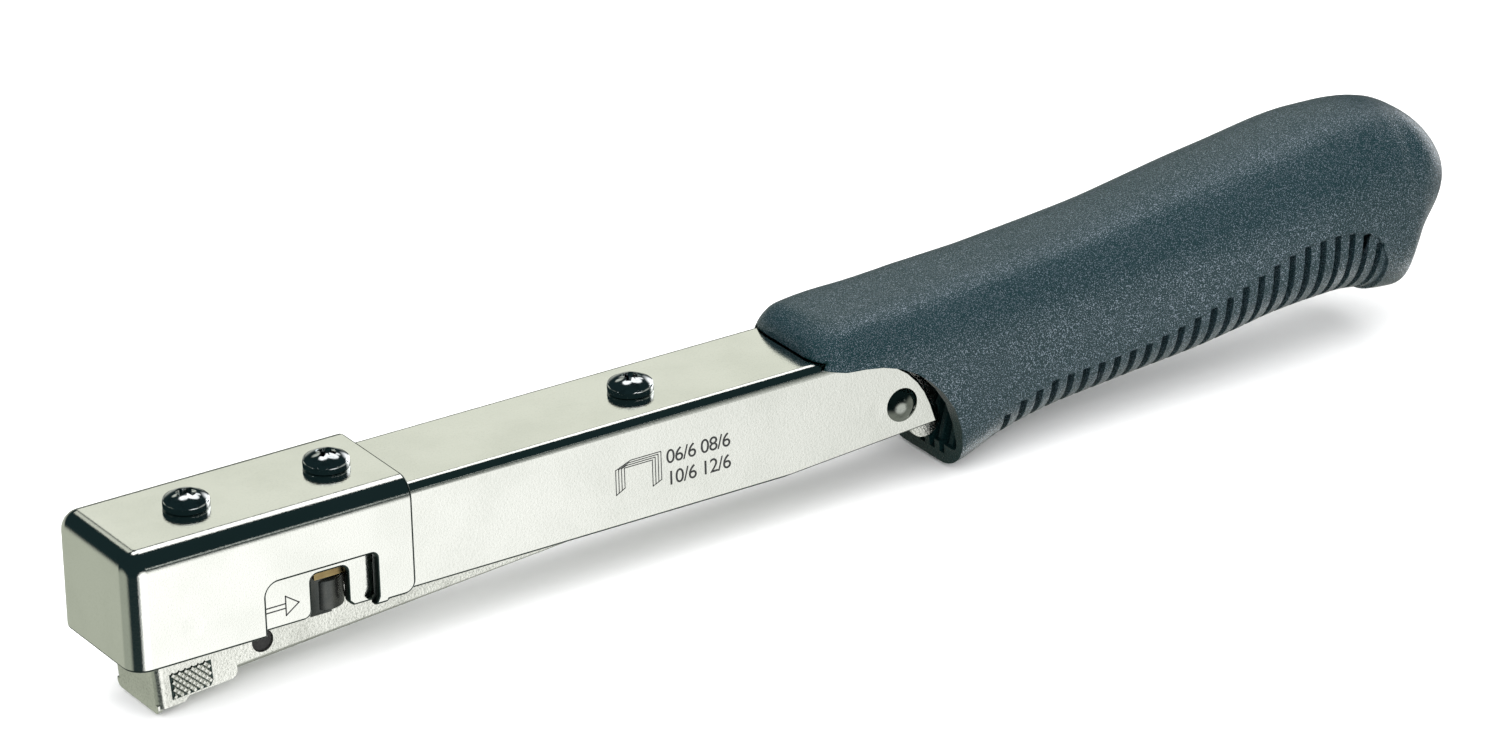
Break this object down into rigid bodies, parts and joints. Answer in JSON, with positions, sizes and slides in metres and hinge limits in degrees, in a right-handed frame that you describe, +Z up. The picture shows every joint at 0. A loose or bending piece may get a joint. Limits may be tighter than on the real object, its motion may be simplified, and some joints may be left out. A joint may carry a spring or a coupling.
{
  "type": "hammer tacker",
  "caption": "Hammer tacker: steel channel head with hinged staple magazine, sprung pusher, thumb catch and a moulded, ribbed grip.",
  "frame": {"origin": "centre of the bounding box's bottom face, on the bench the tool lies on", "axes": "+X towards the butt of the grip, -X towards the striking face, +Y to the far side, +Z up"},
  "size_m": [0.27, 0.0326, 0.0416],
  "materials": {
    "nickel": "satin nickel plate",
    "polished": "polished",
    "blade_steel": "hardened, dark",
    "black_steel": "blackened",
    "zinc_yellow": "yellow zinc plate",
    "spring_steel": "drawn",
    "staple_wire": "galvanised",
    "buffer_black": "matte",
    "grip_blue": "fine spark texture"
  },
  "bodies": {
    "tool_body": {"frame_channel": "nickel", "head_cap": "nickel", "cap_screw_front": "polished", "cap_screw_rear": "polished", "buffer_screw": "polished", "striking_block": "blade_steel", "driver_blade": "blade_steel", "blade_clamp": "blade_steel", "catch_bracket": "zinc_yellow", "bracket_nut": "spring_steel", "strike_buffer": "buffer_black", "pivot_rivet": "polished", "pivot_washer_near": "spring_steel", "pivot_washer_far": "spring_steel", "catch_spring": "spring_steel", "return_spring": "spring_steel", "grip": "grip_blue"},
    "magazine": {"magazine_channel": "nickel", "nose_piece": "nickel", "staple_rail": "spring_steel", "staple_strip": "staple_wire", "spring_rod": "spring_steel", "rod_holder": "spring_steel", "rail_clip_front": "spring_steel", "rail_clip_rear": "spring_steel", "pivot_bush": "spring_steel", "pusher_spring": "spring_steel"},
    "pusher": {"pusher": "zinc_yellow"},
    "catch": {"catch": "black_steel"}
  },
  "joints": [
    {"name": "magazine_hinge", "type": "hinge", "parent": "tool_body", "child": "magazine", "pos_m": [0.01708, 0, 0.01641], "axis": [0, 1, 0], "range_deg": [-28, 4.7], "stiffness_Nm_per_rad": 40, "deforming": ["return_spring"]},
    {"name": "pusher_slide", "type": "slide", "parent": "magazine", "child": "pusher", "axis": [0.998, 0, 0.0628], "range_m": [0, 0.042], "stiffness_N_per_m": 60, "springref_m": -0.02, "deforming": ["pusher_spring"]},
    {"name": "catch_slide", "type": "slide", "parent": "tool_body", "child": "catch", "axis": [0.9998, 0, -0.0192], "range_m": [0, 0.0018], "stiffness_N_per_m": 900, "springref_m": -0.001, "deforming": ["catch_spring"]}
  ]
}
